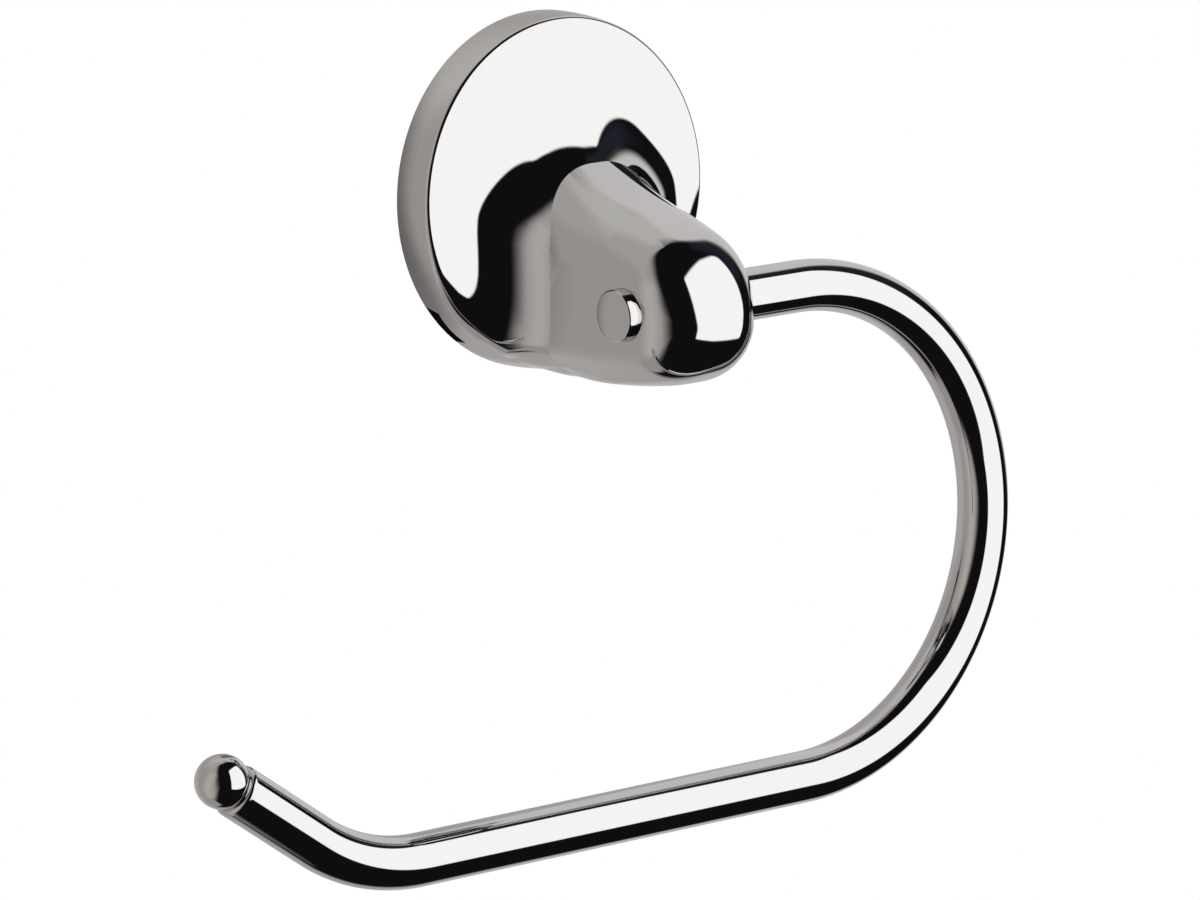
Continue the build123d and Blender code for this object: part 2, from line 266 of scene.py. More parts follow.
def finish_metal(tree, tint, cloud, relief, smoothest, roughest, depth, strength=1.0):
    """Ends a metal's tree. The tint is a colour or the socket that gives it, the roughness follows
    the cloud's noise between its two ends, and the surface the relief's, by a depth in
    millimetres."""
    span = {"From Min": NOISE_LOW, "From Max": NOISE_HIGH}
    ends = {"To Min": smoothest, "To Max": roughest}
    rough = add_node(tree, "ShaderNodeMapRange", {"Value": cloud, **span, **ends})
    sockets = {"Height": relief, "Strength": strength, "Distance": depth * MM}
    bump = add_node(tree, "ShaderNodeBump", sockets)
    shader = add_node(
        tree,
        "ShaderNodeBsdfPrincipled",
        {
            "Base Color": tint,
            "Metallic": 1.0,
            "Roughness": rough.outputs["Result"],
            "Normal": bump.outputs["Normal"],
        },
    )
    add_node(tree, "ShaderNodeOutputMaterial", {"Surface": shader.outputs["BSDF"]})


def chrome_plate(name, tint, lump, dent, smoothest=0.02, roughest=0.045):
    """Bright chrome over buffed metal: a near mirror, its reflections a little wavy from the
    buffing and its gloss uneven by a few hundredths, as polishing leaves it. Lump is the waves'
    spacing and dent their depth, both in millimetres."""
    material, tree = blank_material(name)
    place = {"Vector": add_node(tree, "ShaderNodeTexCoord").outputs["Object"]}
    grit = {"Scale": noise_scale(lump), "Detail": 1.0, "Roughness": 0.4}
    waves = add_node(tree, "ShaderNodeTexNoise", {**place, **grit}).outputs["Fac"]
    cloud = {"Scale": noise_scale(lump * 2), "Detail": 4.0}
    haze = add_node(tree, "ShaderNodeTexNoise", {**place, **cloud}).outputs["Fac"]
    finish_metal(tree, (*tint, 1), haze, waves, smoothest, roughest, depth=dent)
    return material


def zinc_plate(tint, bloom_shade=0.78, pull=0.05):
    """Zinc-plated cold-rolled steel: satin grey with a faint cloudy bloom, darker by a shade, and a
    rolled grain, pulled out up and down and drawn coarser than it is, so that it shows."""
    material, tree = blank_material("zinc_plated_rolled_steel")
    place = {"Vector": add_node(tree, "ShaderNodeTexCoord").outputs["Object"]}
    cloud = {"Scale": noise_scale(6), "Detail": 5.0, "Roughness": 0.6}
    bloom = add_node(tree, "ShaderNodeTexNoise", {**place, **cloud}).outputs["Fac"]
    lay = add_node(tree, "ShaderNodeMapping", {**place, "Scale": (1, 1, pull)}).outputs["Vector"]
    rolled = {"Vector": lay, "Scale": noise_scale(0.6), "Detail": 3.0}
    grain = add_node(tree, "ShaderNodeTexNoise", rolled).outputs["Fac"]
    tone = add_node(tree, "ShaderNodeValToRGB", {"Fac": bloom})
    dark = tuple(bloom_shade * part for part in tint)
    stops = zip(tone.color_ramp.elements, (NOISE_LOW, NOISE_HIGH), (dark, tint))
    for stop, stop_place, shade in stops:
        stop.position = stop_place
        stop.color = (*shade, 1)
    matt = {"smoothest": 0.28, "roughest": 0.42, "strength": 0.6, "depth": 0.02}
    finish_metal(tree, tone.outputs["Color"], bloom, grain, **matt)
    return material


def machined_steel(tint):
    """Machined stainless steel: dull silver, its light scattered by fine tool marks. They are drawn
    coarser than they are, so that they show."""
    material, tree = blank_material("machined_stainless_steel")
    place = {"Vector": add_node(tree, "ShaderNodeTexCoord").outputs["Object"]}
    fine = {"Scale": noise_scale(0.3), "Detail": 3.0}
    marks = add_node(tree, "ShaderNodeTexNoise", {**place, **fine}).outputs["Fac"]
    dull = {"smoothest": 0.24, "roughest": 0.4, "strength": 0.5, "depth": 0.02}
    finish_metal(tree, (*tint, 1), marks, marks, **dull)
    return material


def seen_rays(tree):
    """Socket that is 1 for what the camera sees, straight, in metal or through something clear."""
    ray = add_node(tree, "ShaderNodeLightPath").outputs
    seen = ray["Is Camera Ray"]
    for kind in ("Is Glossy Ray", "Is Transmission Ray"):
        either = {"operation": "MAXIMUM"}
        seen = add_node(tree, "ShaderNodeMath", {0: seen, 1: ray[kind]}, either).outputs["Value"]
    return seen


def mixed_surface(tree, share, first, second):
    """Ends a material that goes from one shader to another by a share."""
    mix = add_node(tree, "ShaderNodeMixShader", {0: share, 1: first, 2: second})
    add_node(tree, "ShaderNodeOutputMaterial", {"Surface": mix.outputs["Shader"]})


def seen_white(tint):
    """Matt pale floor that the camera and the metal see at full white."""
    material, tree = blank_material("matt_white_floor")
    paint = {"Color": (*tint, 1)}
    glow = add_node(tree, "ShaderNodeEmission", {**paint, "Strength": 1.0})
    matt = add_node(tree, "ShaderNodeBsdfDiffuse", paint)
    mixed_surface(tree, seen_rays(tree), matt.outputs["BSDF"], glow.outputs["Emission"])
    return material


def card_light():
    """Lit studio cards: each spot glows with the tone kept on the card, and lets light through
    where it is thin."""
    material, tree = blank_material("lit_studio_card")
    layer = {"layer_name": "card_tone"}
    tone = add_node(tree, "ShaderNodeVertexColor", settings=layer).outputs
    glow = add_node(tree, "ShaderNodeEmission", {"Color": tone["Color"]})
    clear = add_node(tree, "ShaderNodeBsdfTransparent")
    mixed_surface(tree, tone["Alpha"], clear.outputs["BSDF"], glow.outputs["Emission"])
    return material


# Mesh helpers


def new_object(name, data):
    """Puts a mesh or a camera into the scene as an object at the origin."""
    thing = bpy.data.objects.new(name, data)
    bpy.context.scene.collection.objects.link(thing)
    return thing


def mesh_from_bmesh(name, bm):
    """Ends a bmesh and returns it as a mesh with its faces pointing out."""
    bmesh.ops.recalc_face_normals(bm, faces=bm.faces)
    mesh = bpy.data.meshes.new(name)
    bm.to_mesh(mesh)
    bm.free()
    return mesh


def flat_mesh(thing):
    """The object's evaluated shape as a plain mesh."""
    bpy.context.view_layer.update()
    depsgraph = bpy.context.evaluated_depsgraph_get()
    return bpy.data.meshes.new_from_object(thing.evaluated_get(depsgraph))


def combined(mesh, cutter, operation):
    """Joins, cuts or intersects two closed meshes and returns the result."""
    base = new_object("combine_base", mesh)
    tool = new_object("combine_tool", cutter)
    modifier = base.modifiers.new("combine", "BOOLEAN")
    modifier.operation = operation
    modifier.solver = "EXACT"
    modifier.object = tool
    result = flat_mesh(base)
    bpy.data.objects.remove(base)
    bpy.data.objects.remove(tool)
    return result


def smooth_by_angle(mesh, degrees=30):
    """Gives a mesh smooth shading, but sharp edges where faces meet at more than an angle."""
    mesh.set_sharp_from_angle(angle=radians(degrees))
    return mesh


def lofted(rings):
    """Closed solid through rings of points in millimetres. An end ring may be a single point."""
    bm = bmesh.new()
    loops = [[bm.verts.new(Vector(point) * MM) for point in ring] for ring in rings]
    sides = len(loops[1])
    for low, high in zip(loops, loops[1:]):
        for i in range(sides):
            j = (i + 1) % sides
            places = ((low, i), (low, j), (high, j), (high, i))
            corners = [loop[k % len(loop)] for loop, k in places]
            bm.faces.new(list(dict.fromkeys(corners)))
    for loop in (loops[0], loops[-1]):
        if len(loop) > 1:
            bm.faces.new(loop)
    return mesh_from_bmesh("loft", bm)


def cylinder(radius, start, end, sides=96):
    """Closed cylinder between two points."""
    start, end = Vector(start), Vector(end)
    turned = (end - start).to_track_quat("Z", "Y")
    angles = [2 * pi * i / sides for i in range(sides)]
    spokes = [turned @ Vector((sin(a), cos(a), 0)) * radius for a in angles]
    return lofted([[middle + spoke for spoke in spokes] for middle in (start, end)])


def turned_solid(outline, start, axis, sides=128):
    """Lathe work: an outline of (distance along, radius) turned round an axis."""
    axis = Vector(axis).normalized()
    across = axis.orthogonal().normalized()
    third = axis.cross(across)
    rings = []
    for along, radius in outline:
        middle = Vector(start) + axis * along
        angles = [2 * pi * i / sides for i in range(sides)] if radius > 0 else [0]
        spokes = [across * cos(a) + third * sin(a) for a in angles]
        rings.append([middle + spoke * radius for spoke in spokes])
    return lofted(rings)


def arc_points(centre, radius, start, end, steps):
    """Points of an arc as (along, radius) pairs, angles in degrees from the along axis."""
    angles = [radians(start + (end - start) * i / steps) for i in range(steps + 1)]
    return [(centre[0] + radius * cos(a), centre[1] + radius * sin(a)) for a in angles]


def finish_piece(name, mesh, material, body, slot, *nodes):
    """Makes a piece of the holder that rides on a body and stands for CAD nodes."""
    mesh.materials.clear()
    mesh.materials.append(material)
    mesh.name = name
    piece = new_object(name, mesh)
    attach(piece, body)
    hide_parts(*nodes)


# Post casting: distances in millimetres, negative inside the metal

# The lower face: the share of its sag by which it stands full, the power by which it falls back
# over its margin, and how far past the edge, in margins, that goes on
FACE_FULLNESS, FACE_FALL, FACE_PAST_EDGE = 0.6, 4, 1.2
# Softness of the bend where the rim's trim turns into the root's flare, as a share of the depth
TRIM_SOFTNESS = 0.06
# Where the rim's edge is rounder: between these drops below the axis it sets in, and beside the
# middle plane it sets in and dies away. Along the rest of the low rim it has this share of that.
ROOT_FOOT_DROP, ROOT_FOOT_IN, ROOT_FOOT_OUT = (18, 24), (4, 10), (14, 19)
LOW_RIM_SHARE = 0.1
# The skin is found from this point behind the nose, by this many halvings, in rows that are one
# step or one bend apart
HEART = np.array([0, 12.0, -14.0])
HALVINGS = 30
ROW_STEP, ROW_BEND = 1.2, radians(4)
# A point this close to the skin lies on it, and a face this much in line with it belongs to it
SKIN_TOLERANCE, SKIN_ALIGNED = 0.002, 0.8
# How far a cutting tool reaches past what it cuts, the rim's share at which the grub screw's hole
# ends in the recess, and the faces round the two widest cuts
OVERLAP = 1.0
GRUB_HOLE_END = 0.7
RECESS_SIDES, BORE_SIDES = 192, 128


def eased(value, start, end):
    """Smooth step from 0 to 1 between two values."""
    share = np.clip((value - start) / (end - start), 0, 1)
    return share * share * (3 - 2 * share)


def round_over(a, b, radius):
    """Edge between two faces of one solid, rounded over."""
    past = np.hypot(np.maximum(radius + a, 0), np.maximum(radius + b, 0))
    return np.minimum(np.maximum(a, b), -radius) + past


def fillet_between(a, b, radius):
    """Two solids joined with a fillet in the corner between them."""
    short = np.hypot(np.maximum(radius - a, 0), np.maximum(radius - b, 0))
    return np.maximum(np.minimum(a, b), radius) - short


def plan_corner(sizes):
    """Centre of the nose's front corner arc: its distances from the middle plane and the wall."""
    lean = sizes.nose_taper
    reach = sizes.nose_past_bore - PIVOT.y
    offset = sizes.nose_width / 2 - sizes.nose_corner / cos(lean)
    front = reach - sizes.nose_front
    along = offset * sin(lean) + front * cos(lean)
    across = offset * cos(lean) - front * sin(lean)
    step = along + sqrt((sizes.nose_front - sizes.nose_corner) ** 2 - across**2)
    return offset - step * sin(lean), step * cos(lean)


def nose_half_width(sizes, from_wall):
    """Half the nose's width at a distance from the wall, on its side or its corner arc."""
    corner_x, corner_h = plan_corner(sizes)
    if from_wall <= corner_h + sizes.nose_corner * sin(sizes.nose_taper):
        return sizes.nose_width / 2 - from_wall * tan(sizes.nose_taper)
    return corner_x + sqrt(sizes.nose_corner**2 - (from_wall - corner_h) ** 2)


def plan_distance(sizes, x, y):
    """Distance from the nose's outline from above: tapered sides, corner arcs and a front arc."""
    lean = sizes.nose_taper
    across, out = np.abs(x), -y
    front = sizes.nose_past_bore - PIVOT.y - sizes.nose_front
    corner_x, corner_h = plan_corner(sizes)
    side = (across - sizes.nose_width / 2) * cos(lean) + out * sin(lean)
    side = side + sizes.nose_corner
    arc = np.where(out > front, np.hypot(across, out - front), out - front)
    arc = arc - sizes.nose_front + sizes.nose_corner
    past_side = (corner_x - across) * sin(lean) + (out - corner_h) * cos(lean) > 0
    past_arc = corner_x * (out - front) < (corner_h - front) * across
    corner = np.hypot(across - corner_x, out - corner_h)
    outside = np.where(past_side, np.where(past_arc, corner, arc), side)
    inside = np.maximum(side, arc)
    return np.where(inside < 0, inside, np.maximum(outside, inside)) - sizes.nose_corner


def profile_distance(sizes, y, z, heights, upper):
    """Distance from the arc through the heights at the wall, half way out and at the end."""
    places = [-sizes.profile_depth * share for share in (1, 0.5, 0)]
    marks = list(zip(places, heights[::-1]))
    chord = np.array([[2 * a, 2 * b, 1] for a, b in marks])
    squares = np.array([a * a + b * b for a, b in marks])
    centre_y, centre_z, rest = np.linalg.solve(chord, squares)
    radius = sqrt(rest + centre_y**2 + centre_z**2)
    distance = np.hypot(y - centre_y, z - centre_z) - radius
    return distance if (centre_z < heights[1]) == upper else -distance


def profile_heights(sizes):
    """Heights of the belly and of the back: at the wall, half way out and at the profile's end."""
    foot = -sizes.rosette_diameter / 2
    belly = [foot + rise for rise in (sizes.belly_wall, sizes.belly_mid, sizes.belly_front)]
    tall = (sizes.height_wall, sizes.height_mid, sizes.height_front)
    return belly, [low + rise for low, rise in zip(belly, tall)]


def casting_distance(sizes, points):
    """Distance from the outside of the casting: nose and domed face joined by the root fillet, cut
    by the rim. The lower face is fuller and falls back at its edge, the nose's back sweeps up into
    the face, and the fillet meets the nose in a faint crease."""
    x, y, z = points[..., 0], points[..., 1], points[..., 2]
    near_root = 1 - np.clip((-y - sizes.rosette_depth) / sizes.root_reach, 0, 1)
    slope = 2 * sizes.root_rise / sizes.root_reach * near_root
    belly_line, back_line = profile_heights(sizes)
    back = profile_distance(sizes, y, z, back_line, True)
    back = (back - sizes.root_rise * near_root**2) / np.hypot(1, slope)
    belly = profile_distance(sizes, y, z, belly_line, False)
    back_edge = sizes.back_edge + (sizes.back_edge_root - sizes.back_edge) * near_root
    nose = round_over(plan_distance(sizes, x, y), back, back_edge)
    nose = round_over(nose, belly, sizes.belly_edge)
    rim = sizes.rosette_diameter / 2
    from_axis = np.hypot(x, z)
    face_edge = rim - sizes.rosette_depth * tan(sizes.rim_draft)
    middle = sqrt(sizes.dome_radius**2 - face_edge**2) - sizes.rosette_depth
    face = np.sqrt(x * x + z * z + (y - middle) ** 2) - sizes.dome_radius
    margin = np.clip((from_axis - face_edge) / sizes.sag_margin + 1, 0, FACE_PAST_EDGE)
    low_side = eased(-z, -sizes.sag_start, sizes.sag_full)
    face = face + sizes.face_sag * low_side * (margin**FACE_FALL - FACE_FULLNESS)
    out = -y / sizes.rosette_depth
    past_face = (out - 1 + np.hypot(out - 1, TRIM_SOFTNESS)) / 2
    flare = sizes.root_flare * past_face * sizes.rosette_depth
    trim = rim + (face_edge - rim) * np.maximum(out - past_face, 0) ** 2 + flare
    over_back = eased(back, -sizes.back_edge, 0)
    root = sizes.root_radius + (sizes.root_radius_back - sizes.root_radius) * over_back
    joined = np.minimum(nose, fillet_between(nose + sizes.root_crease, face, root))
    beside = eased(np.abs(x), *ROOT_FOOT_IN)
    below_root = eased(-z, *ROOT_FOOT_DROP) * beside * (1 - eased(np.abs(x), *ROOT_FOOT_OUT))
    rounder = np.maximum(below_root, LOW_RIM_SHARE * low_side)
    rim_edge = sizes.rim_edge_radius + (sizes.rim_edge_low - sizes.rim_edge_radius) * rounder
    return round_over(joined, from_axis - trim, rim_edge)


def casting_normals(sizes, points, step=0.002):
    """Directions out of the casting's skin."""
    slopes = []
    for axis in range(3):
        shift = np.zeros(3)
        shift[axis] = step
        ahead, behind = (casting_distance(sizes, points + side * shift) for side in (1, -1))
        slopes.append(ahead - behind)
    slopes = np.stack(slopes, -1)
    return slopes / np.linalg.norm(slopes, axis=-1, keepdims=True)


def casting_skin(sizes, columns=288, rows=170, samples=500):
    """The casting's outside, found along rays that fan out from a point behind the nose, as a
    closed mesh. Rows are closest where the skin bends most."""
    rim = sizes.rosette_diameter / 2
    around = np.arange(columns) / columns * 2 * pi
    across = np.stack([np.cos(around), 0 * around, np.sin(around)], -1)
    outward = np.array([0, -1.0, 0])
    toward = across @ np.array([0, 0, HEART[2]])
    reach = -toward + np.sqrt(toward**2 + rim**2 - HEART[2] ** 2)
    widest = np.arctan2(reach, HEART[1])

    def hits(share):
        """Points of the skin on each column's rays at shares of its widest angle."""
        angle = (share * widest[:, None])[..., None]
        rays = np.sin(angle) * across[:, None, :] + np.cos(angle) * outward
        near, far = np.zeros(angle.shape), np.full(angle.shape, 2 * sizes.rosette_diameter)
        for _ in range(HALVINGS):
            half = (near + far) / 2
            inside = casting_distance(sizes, HEART + half * rays)[..., None] < 0
            near, far = np.where(inside, half, near), np.where(inside, far, half)
        return HEART + near * rays

    even = np.broadcast_to(np.linspace(0, 1, samples), (columns, samples))
    path = hits(even)
    step = np.linalg.norm(np.diff(path, axis=1), axis=2)
    normals = casting_normals(sizes, path)
    bend = np.arccos(np.clip((normals[:, 1:] * normals[:, :-1]).sum(2), -1, 1))
    spread = np.cumsum(step / ROW_STEP + bend / ROW_BEND, axis=1)
    spread = np.concatenate([np.zeros((columns, 1)), spread], axis=1)
    spread /= spread[:, -1:]
    shares = np.stack([np.interp(np.linspace(0, 1, rows), line, even[0]) for line in spread])
    grid = hits(shares)
    grid[:, -1, 1] = 0
    return lofted([grid[:1, 0], *(grid[:, row] for row in range(1, rows))])


def rounded_outline(width, low, high, radius, y, steps=10):
    """Ring of points of a rounded rectangle that stands at a distance from the wall."""
    ring = []
    corners = ((1, high - radius), (-1, high - radius), (-1, low + radius), (1, low + radius))
    for quarter, (side, level) in enumerate(corners):
        centre = (side * (width / 2 - radius), level)
        start = 90 * quarter
        ring += [(x, y, z) for x, z in arc_points(centre, radius, start, start + 90, steps)]
    return ring


def bore_and_core(sizes):
    """Radius of the bail's bore, and depth of the core, which ends a screw's length before it."""
    bail = Millimetres(bpy.context.scene.paper_holder.bail)
    bore_radius = bail.tube_diameter / 2 + sizes.bore_clearance
    return bore_radius, -PIVOT.y - bore_radius - sizes.stop_screw_length


def casting_hollow(sizes):
    """What is hollow behind the casting: the plate's recess and the nose's core, less the grub
    screw's boss."""
    rim = sizes.rosette_diameter / 2
    recess_radius = rim - sizes.rim_wall
    recess_depth = sizes.rosette_depth - sizes.face_thickness
    core_depth = bore_and_core(sizes)[1]
    recess = cylinder(recess_radius, (0, OVERLAP, 0), (0, -recess_depth, 0), RECESS_SIDES)
    slope = tan(sizes.core_draft)
    width = 2 * (nose_half_width(sizes, core_depth) - sizes.core_wall + core_depth * slope)
    low, high = (line[1] for line in profile_heights(sizes))
    low, high = low + sizes.core_wall, high - sizes.core_wall
    rings = []
    for depth in (OVERLAP, core_depth):
        lean = depth * slope
        corner = sizes.core_corner - lean
        rings.append(rounded_outline(width - 2 * lean, low + lean, high - lean, corner, -depth))
    hollow = combined(recess, lofted(rings), "UNION")
    boss_top = -recess_radius + sizes.boss_height
    back, front = -sizes.boss_setback, -recess_depth - OVERLAP
    ends = ((-1, back), (1, back), (1, front), (-1, front))
    square = [(side * sizes.boss_width / 2, y) for side, y in ends]
    boss = lofted([[(x, y, z) for x, y in square] for z in (-2 * rim, boss_top)])
    return combined(hollow, boss, "DIFFERENCE")


def casting_mesh(sizes):
    """Skin less the hollow, the bail's bore and the two screw holes, with the skin's own exact
    normals."""
    rim = sizes.rosette_diameter / 2
    bore_radius, core_depth = bore_and_core(sizes)
    grub_y = sum(corner.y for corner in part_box("rosette_grub_screw")) / 2 / MM
    stop_radius = sizes.stop_screw / 2 + sizes.thread_clearance
    grub_radius = sizes.grub_screw / 2 + sizes.thread_clearance
    in_core = OVERLAP - core_depth
    in_recess = -rim * GRUB_HOLE_END
    holes = [
        cylinder(bore_radius, (-rim, PIVOT.y, PIVOT.z), (rim, PIVOT.y, PIVOT.z), BORE_SIDES),
        cylinder(stop_radius, (0, PIVOT.y, PIVOT.z), (0, in_core, PIVOT.z)),
        cylinder(grub_radius, (0, grub_y, -2 * rim), (0, grub_y, in_recess)),
    ]
    mesh = casting_skin(sizes)
    for tool in (casting_hollow(sizes), *holes):
        mesh = combined(mesh, tool, "DIFFERENCE")
    smooth_by_angle(mesh)
    spots = np.array([v.co for v in mesh.vertices]) / MM
    on_skin = np.abs(casting_distance(sizes, spots)) < SKIN_TOLERANCE
    normals = casting_normals(sizes, spots)
    loops = np.zeros((len(mesh.loops), 3))
    for face in mesh.polygons:
        corners = list(face.vertices)
        aligned = normals[corners] @ np.array(face.normal) > SKIN_ALIGNED
        if on_skin[corners].all() and aligned.all():
            loops[list(face.loop_indices)] = normals[corners]
    mesh.normals_split_custom_set([tuple(normal) for normal in loops])
    return mesh


# Bail


def bail_runs(bail):
    """The tube's centre line as runs of (length, turn), from the pin to the ball."""
    return [
        (bail.pin_shoulder + bail.upper_run, 0),
        (bail.bend_radius * bail.bend_angle, -bail.bend_angle),
        (bail.lower_run, 0),
        (bail.tip_bend_radius * bail.tip_bend_angle, -bail.tip_bend_angle),
        (bail.tip_run, 0),
    ]


def bail_spot(bail, start, distance):
    """Point and heading of the centre line at a distance along it."""
    spot, heading = np.array([start, PIVOT.z]), 0.0
    for run, whole_turn in bail_runs(bail):
        part = min(distance, run)
        swing = whole_turn * part / run
        chord = part * np.sinc(swing / 2 / pi)
        halfway = heading + swing / 2
        spot = spot + chord * np.array([cos(halfway), sin(halfway)])
        heading += swing
        distance -= part
    return Vector((spot[0], PIVOT.y, spot[1])), Vector((cos(heading), 0, sin(heading)))


def shoulder_x(casting, bail):
    """Where the tube starts, on the pivot pin's shoulder inside the far cheek."""
    return nose_half_width(casting, -PIVOT.y) - bail.pin_shoulder


def bail_line(casting, bail, pitch=1.0, hair=0.002):
    """The centre line as a chain of points. Each keeps its ring's share of the tube's radius, and a
    hair from both ends the ring closes in on the bore."""
    radius = bail.tube_diameter / 2
    mouth = bail.mouth_radius
    total = sum(run for run, _ in bail_runs(bail))
    inner_share = 1 - bail.tube_wall / radius
    marks = [(0, inner_share), (hair, 1)]
    edge = 0.0
    for run, _ in bail_runs(bail):
        count = round(run / pitch)
        marks += [(edge + run * i / count, 1) for i in range(1, count)]
        edge += run
        marks.append((edge, 1))
    marks = [mark for mark in marks if mark[0] < total - mouth]
    for along, out in arc_points((total - mouth, radius - mouth), mouth, 90, 0, steps=6):
        marks.append((along, out / radius))
    marks.append((total + hair, inner_share))
    bm = bmesh.new()
    start = shoulder_x(casting, bail)
    chain = [bm.verts.new(bail_spot(bail, start, along)[0] * MM) for along, _ in marks]
    heading = bail_spot(bail, start, total)[1]
    chain[-1].co += heading * hair * MM
    for first, second in zip(chain, chain[1:]):
        bm.edges.new((first, second))
    mesh = mesh_from_bmesh("bail_line", bm)
    shares = mesh.attributes.new("radius", "FLOAT", "POINT")
    shares.data.foreach_set("value", [share for _, share in marks])
    return mesh


def tube_tree():
    """Node tree that draws a tube with an open bore along a chain of points."""
    tree = bpy.data.node_groups.new("tube_along_line", "GeometryNodeTree")
    tree.is_modifier = True
    for name, side, kind in (
        ("Line", "INPUT", "Geometry"),
        ("Tube radius", "INPUT", "Float"),
        ("Bore radius", "INPUT", "Float"),
        ("Sides", "INPUT", "Int"),
        ("Finish", "INPUT", "Material"),
        ("Tube", "OUTPUT", "Geometry"),
    ):
        tree.interface.new_socket(name, in_out=side, socket_type="NodeSocket" + kind)
    given = add_node(tree, "NodeGroupInput").outputs
    line = add_node(tree, "GeometryNodeMeshToCurve", {"Mesh": given["Line"]}).outputs["Curve"]
    share = add_node(tree, "GeometryNodeInputRadius").outputs["Radius"]
    walls = []
    for size, scale in (("Tube radius", {"Scale": share}), ("Bore radius", {})):
        round_of = {"Resolution": given["Sides"], "Radius": given[size]}
        ring = add_node(tree, "GeometryNodeCurvePrimitiveCircle", round_of).outputs["Curve"]
        along = {"Curve": line, "Profile Curve": ring, **scale}
        walls.append(add_node(tree, "GeometryNodeCurveToMesh", along).outputs["Mesh"])
    bore = add_node(tree, "GeometryNodeFlipFaces", {"Mesh": walls[1]})
    both = add_node(tree, "GeometryNodeJoinGeometry", {"Geometry": walls[0]})
    tree.links.new(bore.outputs["Mesh"], both.inputs["Geometry"])
    shape = both.outputs["Geometry"]
    for kind, sockets in (
        ("GeometryNodeMergeByDistance", {"Distance": 1e-6}),
        ("GeometryNodeRealizeInstances", {}),
        ("GeometryNodeSetMaterial", {"Material": given["Finish"]}),
    ):
        shape = add_node(tree, kind, {"Geometry": shape, **sockets}).outputs["Geometry"]
    add_node(tree, "NodeGroupOutput", {"Tube": shape})
    return tree


def tube_mesh(casting, bail, material):
    """The bent tube, drawn by the node tree and turned into a plain mesh."""
    tree = tube_tree()
    thing = new_object("bail_line", bail_line(casting, bail))
    modifier = thing.modifiers.new("tube", "NODES")
    modifier.node_group = tree
    radius = bail.tube_diameter / 2 * MM
    values = {
        "Tube radius": radius,
        "Bore radius": radius - bail.tube_wall * MM,
        "Sides": bail.tube_sides,
        "Finish": material,
    }
    for item in tree.interface.items_tree:
        if item.name in values:
            modifier[item.identifier] = values[item.name]
    mesh = flat_mesh(thing)
    bpy.data.objects.remove(thing)
    return smooth_by_angle(mesh)


def ring_sector(inner, outer, half_width, start, end, steps=72):
    """Part-turn ring round the pivot's axis, between two angles from the wall side."""
    rings = []
    corners = [(-half_width, inner), (half_width, inner)]
    corners += [(half_width, outer), (-half_width, outer)]
    for i in range(steps + 1):
        angle = start + (end - start) * i / steps
        out = Vector((0, cos(angle), sin(angle)))
        middle = Vector((0, PIVOT.y, PIVOT.z))
        rings.append([middle + Vector((x, 0, 0)) + out * radius for x, radius in corners])
    return lofted(rings)


def pin_mesh(casting, bail):
    """Turned pivot pin with its rounded head, the stop groove and the spigot in the tube."""
    radius = bail.tube_diameter / 2
    half = nose_half_width(casting, -PIVOT.y)
    whole = 2 * half + bail.pin_proud - bail.pin_shoulder
    spigot = radius - bail.tube_wall - bail.spigot_clearance
    edge = bail.pin_edge
    outline = [(0, 0), (0, (radius - edge) / 2)]
    outline += arc_points((edge, radius - edge), edge, 180, 90, steps=8)
    outline += [(whole / 2, radius), (whole, radius), (whole, spigot)]
    outline += [(whole + bail.pin_spigot, spigot), (whole + bail.pin_spigot, 0)]
    start = (-half - bail.pin_proud, PIVOT.y, PIVOT.z)
    pin = turned_solid(outline, start, (1, 0, 0))
    dog = bail.dog_diameter / 2 + bail.dog_clearance
    floor = radius - bail.groove_depth
    reach = atan2(dog, floor) + bail.stop_play
    swing_in, swing_out = radians(SWING_IN), radians(SWING_OUT)
    groove = ring_sector(floor, 2 * radius, dog, -swing_in - reach, swing_out + reach)
    return smooth_by_angle(combined(pin, groove, "DIFFERENCE"))


def ball_mesh(casting, bail):
    """Ball of the tube's diameter, seated on the tube's mouth, with its spigot."""
    radius = bail.tube_diameter / 2
    bore = radius - bail.tube_wall
    spigot = bore - bail.spigot_clearance
    lift = sqrt(radius**2 - bore**2)
    total = sum(run for run, _ in bail_runs(bail))
    end, heading = bail_spot(bail, shoulder_x(casting, bail), total)
    seat = np.degrees(atan2(bore, -lift))
    outline = [(-bail.ball_spigot, 0), (-bail.ball_spigot, spigot), (0, spigot)]
    outline += arc_points((lift, 0), radius, seat, 0, steps=64)
    outline[-1] = (lift + radius, 0)
    return smooth_by_angle(turned_solid(outline, end, heading))


# Stage

